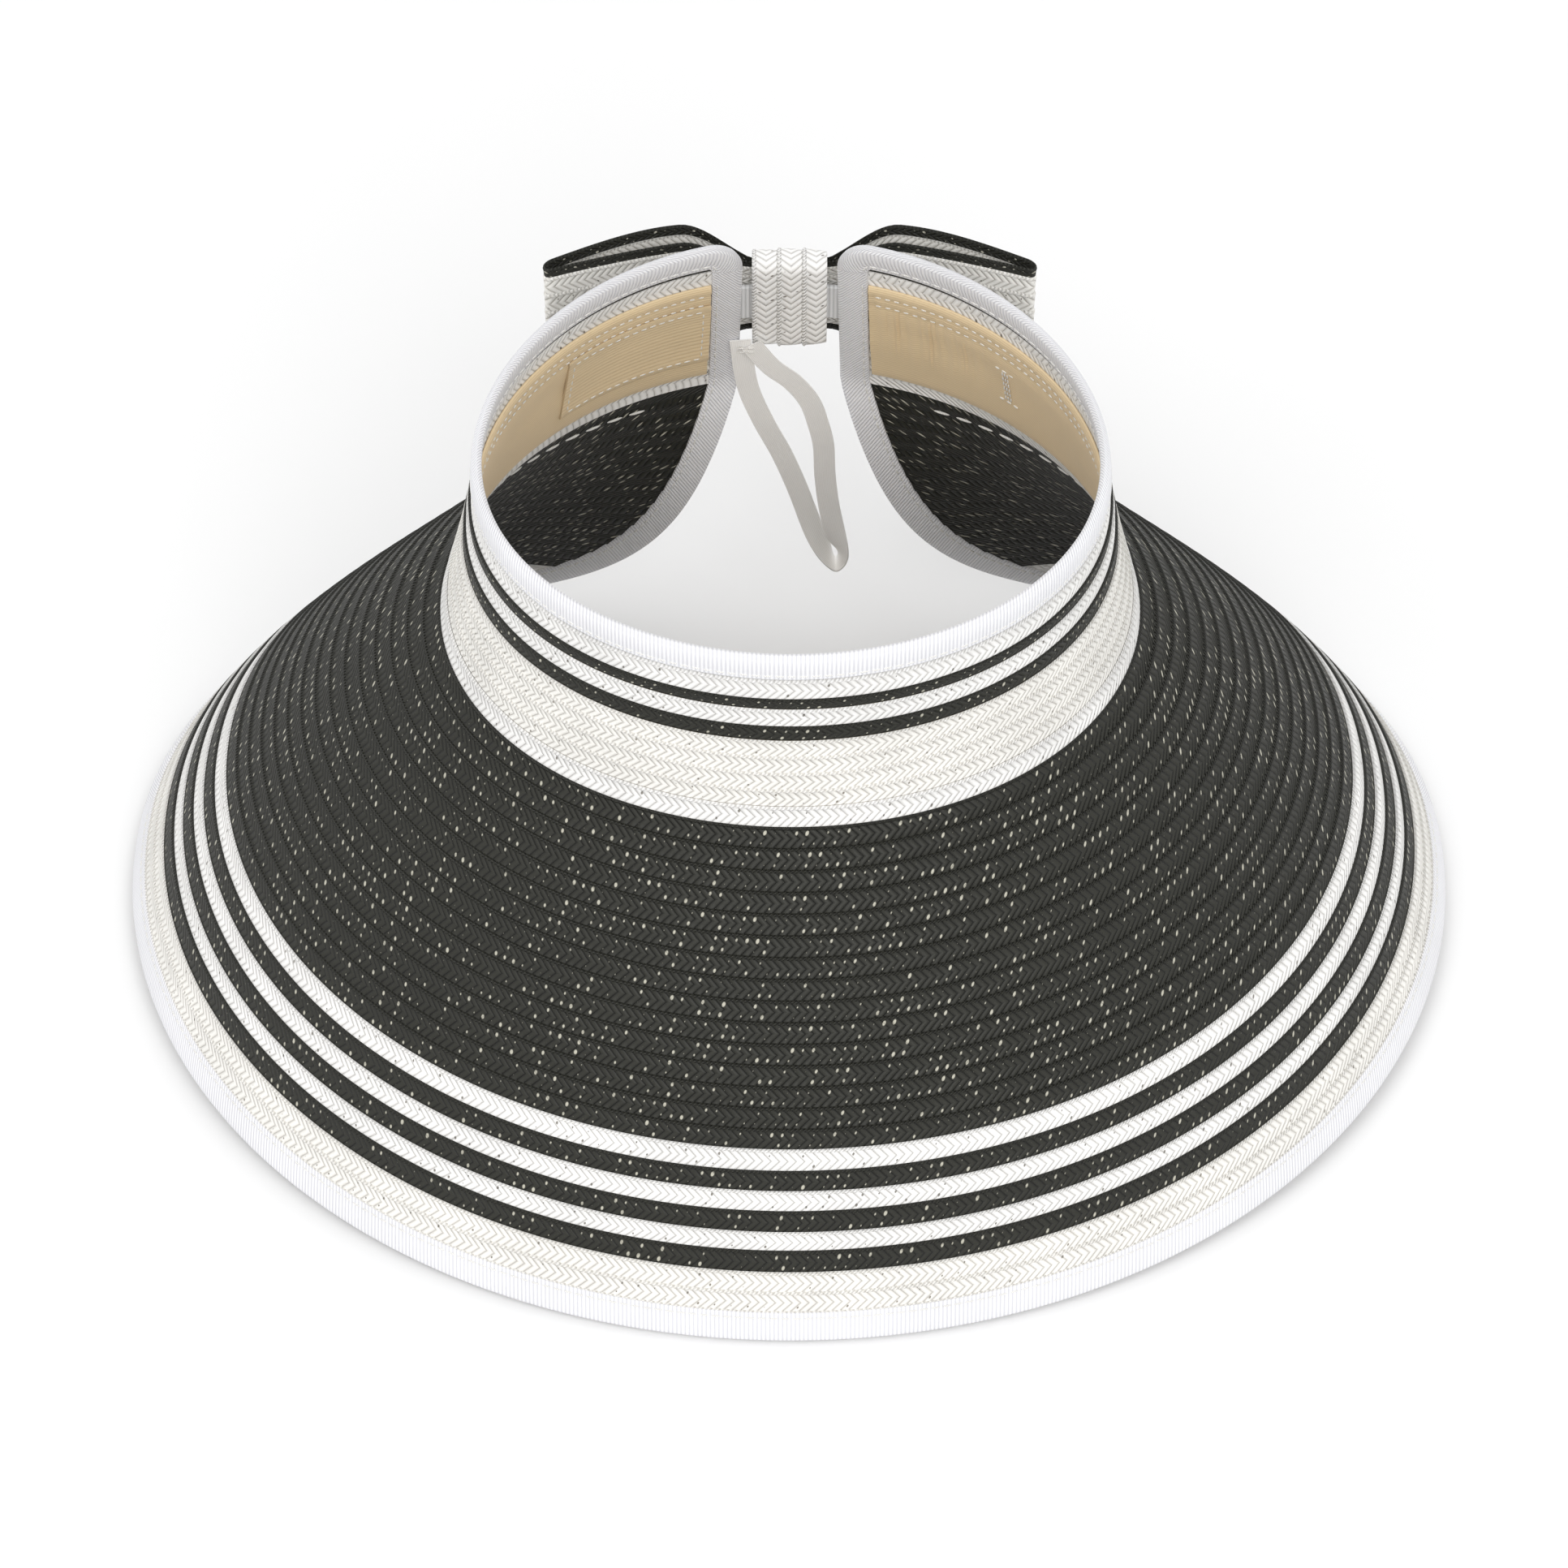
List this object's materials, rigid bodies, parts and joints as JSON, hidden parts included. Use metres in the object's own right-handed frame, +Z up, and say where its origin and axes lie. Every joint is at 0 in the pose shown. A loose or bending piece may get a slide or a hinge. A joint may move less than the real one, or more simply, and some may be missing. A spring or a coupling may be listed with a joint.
{
  "type": "sun visor",
  "caption": "Wide-brimmed roll-up sun visor of sewn straw braid with an open crown, ribbon-bound edges, a fabric sweatband, and a bow that slides on a strap at the back.",
  "frame": {"origin": "middle of the bounding box, on the surface that the brim's edge stands on", "axes": "+X to the wearer's left, -Y to the front of the brim, +Z up"},
  "size_m": [0.3687, 0.268, 0.1678],
  "materials": {
    "white_thread": "matte",
    "white_grosgrain": "matte",
    "tan_sweatband": "matte",
    "tan_tab": "matte",
    "white_satin_ribbon": "satin",
    "white_strap_webbing": "matte",
    "black_braid": "matte",
    "ivory_braid": "matte",
    "white_braid": "matte"
  },
  "bodies": {
    "visor": {"brim_binding_thread": "white_thread", "brim_black_braid": "black_braid", "brim_black_stripe_inner": "black_braid", "brim_black_stripe_middle": "black_braid", "brim_black_stripe_outer": "black_braid", "brim_edge_binding": "white_grosgrain", "brim_ivory_braid": "ivory_braid", "brim_white_stripe_inner": "white_braid", "brim_white_stripe_middle": "white_braid", "brim_white_stripe_outer": "white_braid", "crease_thread": "white_thread", "crease_white_braid": "white_braid", "crown_binding_thread": "white_thread", "crown_black_braid_lower": "black_braid", "crown_black_braid_middle": "black_braid", "crown_black_braid_top": "black_braid", "crown_ivory_braid": "ivory_braid", "crown_top_binding": "white_grosgrain", "crown_white_braid_lower": "white_braid", "crown_white_braid_upper": "white_braid", "left_binding_thread": "white_thread", "left_rear_binding": "white_grosgrain", "loop_tack": "white_thread", "right_binding_thread": "white_thread", "right_rear_binding": "white_grosgrain", "strap": "white_strap_webbing", "sweatband": "tan_sweatband", "sweatband_bar_tack": "white_thread", "sweatband_tab": "tan_tab", "sweatband_threads": "white_thread"},
    "bow": {"bow_knot": "white_braid", "bow_left_wing": "ivory_braid", "bow_left_wing_edges": "black_braid", "bow_right_wing": "ivory_braid", "bow_right_wing_edges": "black_braid"},
    "packing_loop": {"packing_loop": "white_satin_ribbon"}
  },
  "joints": [
    {"name": "bow_slide", "type": "slide", "parent": "visor", "child": "bow", "axis": [1, 0, 0], "range_m": [-0.003, 0.003]},
    {"name": "loop_swing", "type": "hinge", "parent": "visor", "child": "packing_loop", "pos_m": [-0.012, 0.1093, 0.1266], "axis": [0, 1, 0], "range_deg": [-8, 25]}
  ]
}
